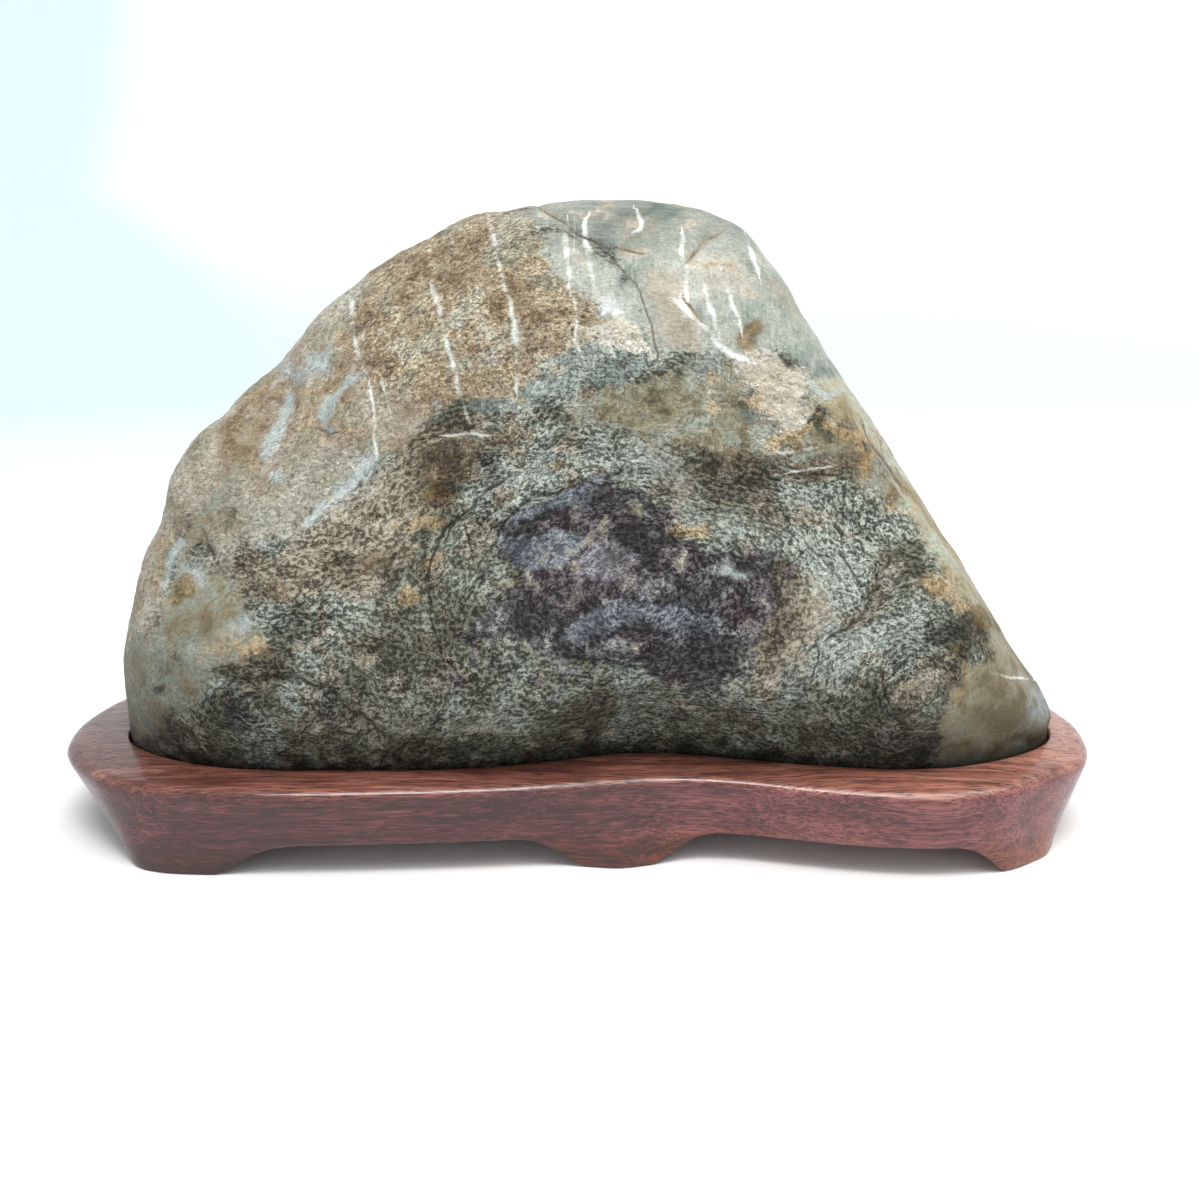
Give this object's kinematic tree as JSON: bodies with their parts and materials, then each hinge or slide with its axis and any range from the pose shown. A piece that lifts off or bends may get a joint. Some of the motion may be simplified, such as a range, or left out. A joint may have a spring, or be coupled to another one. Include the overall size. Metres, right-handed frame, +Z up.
{
  "type": "scholars rock",
  "caption": "Mountain-shaped veined stone for viewing, resting in a carved hardwood stand with a wide wavy rim and arched feet.",
  "frame": {"origin": "on the ground, under the middle of the stand's length and depth", "axes": "+X along the stand's length, to the right as seen from the front; +Z up; the front of the stone faces -Y"},
  "size_m": [0.3029, 0.1038, 0.1772],
  "materials": {
    "stone": "water-worn, unpolished to softly polished, mottled olive, ochre, jade green and plum with pale veins",
    "wood": "reddish-brown hardwood, oiled, satin sheen, fine dark pores along the length"
  },
  "bodies": {
    "root": {"stone": "stone", "stand": "wood"}
  },
  "joints": []
}
